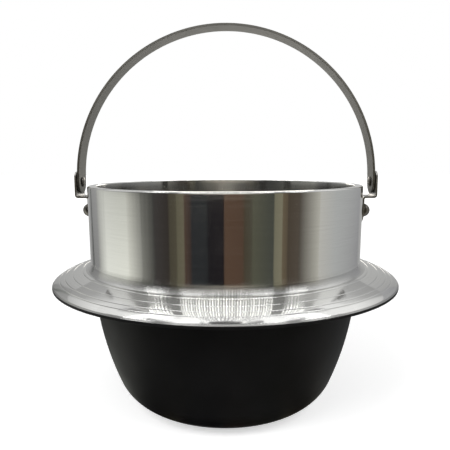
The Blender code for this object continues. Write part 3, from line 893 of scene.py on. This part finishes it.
def world():
    """Soft light from all round, and plain white behind the object."""
    made = bpy.data.worlds.new("studio")
    bpy.context.scene.world = made
    made.use_nodes = True
    nodes = made.node_tree.nodes
    links = made.node_tree.links
    fill = nodes["Background"]
    white = nodes.new("ShaderNodeBackground")
    for shader, strength in ((fill, WORLD_FILL), (white, 1.0)):
        shader.inputs["Color"].default_value = (1, 1, 1, 1)
        shader.inputs["Strength"].default_value = strength
    either = nodes.new("ShaderNodeMixShader")
    links.new(directly_seen(nodes, links), either.inputs[0])
    links.new(fill.outputs[0], either.inputs[1])
    links.new(white.outputs[0], either.inputs[2])
    links.new(either.outputs[0], nodes["World Output"].inputs[0])


def lamp(name, location, power):
    """A soft square lamp aimed at the middle of the pot."""
    data = bpy.data.lights.new(name, "AREA")
    data.size = LAMP_SIZE
    data.energy = power
    made = bpy.data.objects.new(name, data)
    bpy.context.scene.collection.objects.link(made)
    made.location = location
    aim = Vector((0, 0, RIM_HEIGHT / 2)) - made.location
    made.rotation_euler = aim.to_track_quat("-Z", "Y").to_euler()
    made.visible_camera = False
    made.visible_glossy = False


def card_finish():
    """A surface that shines with the colours of its own corners, for the studio's cards."""
    tree = Tree("card_shine")
    shade = tree.add("Attribute", {"attribute_name": "shade"}).outputs["Color"]
    tree.show(tree.add("Emission", Color=shade).outputs[0])
    tree.nodes.remove(tree.shader)
    return tree.material


def hang(name, verts, faces, shades, finish):
    """Makes a card of the studio. Only reflections show it."""
    made = link_mesh(name, verts, faces)
    layer = made.data.color_attributes.new("shade", "FLOAT_COLOR", "POINT")
    layer.data.foreach_set("color", shades)
    made.data.materials.append(finish)
    made.visible_camera = False
    made.visible_diffuse = False
    made.visible_shadow = False
    made.visible_transmission = False


def card(name, azimuths, section, colour_at, finish):
    """A card bent round the pot: a section of (radius, z, share of height), swept between two azimuths.

    colour_at gives the colour from the share of the sweep and the share of the height.
    """
    start, end = azimuths
    count = max(2, int(abs(end - start) / CARD_STEP) + 1)
    verts = []
    shades = []
    for i in range(count):
        share = i / (count - 1)
        angle = radians(mix(start, end, share))
        for radius, z, height in section:
            verts.append((radius * sin(angle), -radius * cos(angle), z))
            shades += [*colour_at(share, height), 1.0]
    rows = len(section)
    faces = []
    for i in range(count - 1):
        for j in range(rows - 1):
            a = i * rows + j
            faces.append((a, a + rows, a + rows + 1, a + 1))
    hang(name, verts, faces, shades, finish)


def stripe_colours(first, last, top_first, top_last):
    """Colours that run from first to last along a stripe.

    At its top they are top_first to top_last times as bright as at its foot.
    """

    def colour_at(share, height):
        fade = mix(1, mix(top_first, top_last, share), height)
        return [mix(a, b, share) * fade for a, b in zip(first, last)]

    return colour_at


def backdrop_colour(share, height):
    return [level * (1 + BACKDROP_GAIN * height) for level in BACKDROP_COLOUR]


def glow_colour(share, height):
    return [level * mix(GLOW_SIDE, 1, sin(pi * share)) for level in GLOW_COLOUR]


def ring_cards(finish):
    """Upright stripes round the pot, which give its wall vertical bands, and the cards inside them."""
    section = [(FLOOR_CARD_R, CARD_FOOT, 0), (RING_CARD_R, CARD_FOOT, 0), (RING_CARD_R, CARD_TOP, 1)]
    ends = [stripe[1] for stripe in STRIPES[1:]] + [STRIPES_END]
    for (name, start, *colours), end in zip(STRIPES, ends):
        card(name, (start, end), section, stripe_colours(*colours), finish)
    backdrop = [(INSIDE_CARD_R, BACKDROP_FOOT, 0), (INSIDE_CARD_R, CARD_TOP, 1)]
    card("backdrop", BACKDROP_AZIMUTHS, backdrop, backdrop_colour, finish)
    glow = [(INSIDE_CARD_R, GLOW_FOOT, 0), (INSIDE_CARD_R, CARD_TOP, 1)]
    card("front_glow", GLOW_AZIMUTHS, glow, glow_colour, finish)


def dome_section(low, high, radius):
    """Points of the studio's dome between two elevations, seen from its centre."""
    count = max(2, int((high - low) / DOME_STEP) + 1)
    points = arc(0, DOME_CENTRE, radius, low, high, count)
    return [(max(x, MM), z, i / (count - 1)) for i, (x, z) in enumerate(points)]


def grey_levels(foot, top):
    """Greys that run from foot to top up a patch."""

    def colour_at(share, height):
        return [mix(foot, top, height)] * 3

    return colour_at


def leaning(azimuth, fan, elevation):
    """A tube's azimuth at an elevation: tubes fan out upwards, as the turned metal stretches a gleam.

    Along a tube, sin(TUBE_LEAN * (azimuth - fan)) * cos(elevation) ** TUBE_LEAN stays the same.
    """
    growth = (cos(radians(TUBE_MIDDLE)) / cos(radians(elevation))) ** TUBE_LEAN
    away = sin(radians(azimuth - fan) * TUBE_LEAN) * growth
    return fan + degrees(asin(max(-1, min(1, away)))) / TUBE_LEAN


def tube_row(name, fan, azimuths, feet, top, pitch, width, levels, finish):
    """A row of bright tubes in one mesh. Their feet follow a curve from the middle to either end."""
    start, end = azimuths
    foot_start, foot_middle, foot_end = feet
    count = round(abs(end - start) / pitch)
    verts = []
    faces = []
    shades = []
    for i in range(count):
        share = (i + 0.5) / count
        foot_side = foot_start if share < 0.5 else foot_end
        foot = mix(foot_middle, foot_side, (2 * share - 1) ** 2)
        corner = len(verts)
        for step in range(TUBE_STEPS + 1):
            height = step / TUBE_STEPS
            elevation = mix(foot, top, height)
            bright = TUBE_LEVELS[i % len(TUBE_LEVELS)] * mix(*levels, height)
            reach = TUBE_R * cos(radians(elevation))
            z = DOME_CENTRE + TUBE_R * sin(radians(elevation))
            for side in (-0.5, 0.5):
                angle = radians(leaning(mix(start, end, share) + side * width, fan, elevation))
                verts.append((reach * sin(angle), -reach * cos(angle), z))
                shades += [bright, bright, bright, 1.0]
        for k in range(corner, corner + 2 * TUBE_STEPS, 2):
            faces.append((k, k + 1, k + 3, k + 2))
    hang(name, verts, faces, shades, finish)


def dome_cards(finish):
    """The studio's ceiling: grey, with a bright soft box on either side and rows of bright tubes."""
    for i, (name, start, end, low, high, foot, top) in enumerate(PATCHES):
        section = dome_section(low, high, DOME_R * (1 - PATCH_STEP * i))
        card(name, (start, end), section, grey_levels(foot, top), finish)
    for row in TUBE_ROWS:
        tube_row(*row, finish)


def camera():
    """The camera as fitted to the photograph, with its lens worked out from pixels."""
    data = bpy.data.cameras.new("camera")
    data.sensor_width = SENSOR
    data.lens = CAMERA_FOCAL_PX / IMAGE_PX * SENSOR
    data.shift_x = CAMERA_SHIFT_PX[0] / IMAGE_PX
    data.shift_y = CAMERA_SHIFT_PX[1] / IMAGE_PX
    made = bpy.data.objects.new("camera", data)
    bpy.context.scene.collection.objects.link(made)
    yaw = radians(CAMERA_YAW)
    location = (CAMERA_DISTANCE * sin(yaw), -CAMERA_DISTANCE * cos(yaw), CAMERA_HEIGHT)
    turn = Matrix.Rotation(yaw, 4, "Z") @ Matrix.Rotation(radians(90 - CAMERA_PITCH), 4, "X")
    made.matrix_world = Matrix.Translation(location) @ turn @ Matrix.Rotation(radians(CAMERA_ROLL), 4, "Z")
    bpy.context.scene.camera = made


make_pot()
make_bail()
make_sides()
floor()
world()
shine = card_finish()
ring_cards(shine)
dome_cards(shine)
for lamp_row in LAMPS:
    lamp(*lamp_row)
camera()
bpy.context.scene.view_settings.view_transform = "Standard"
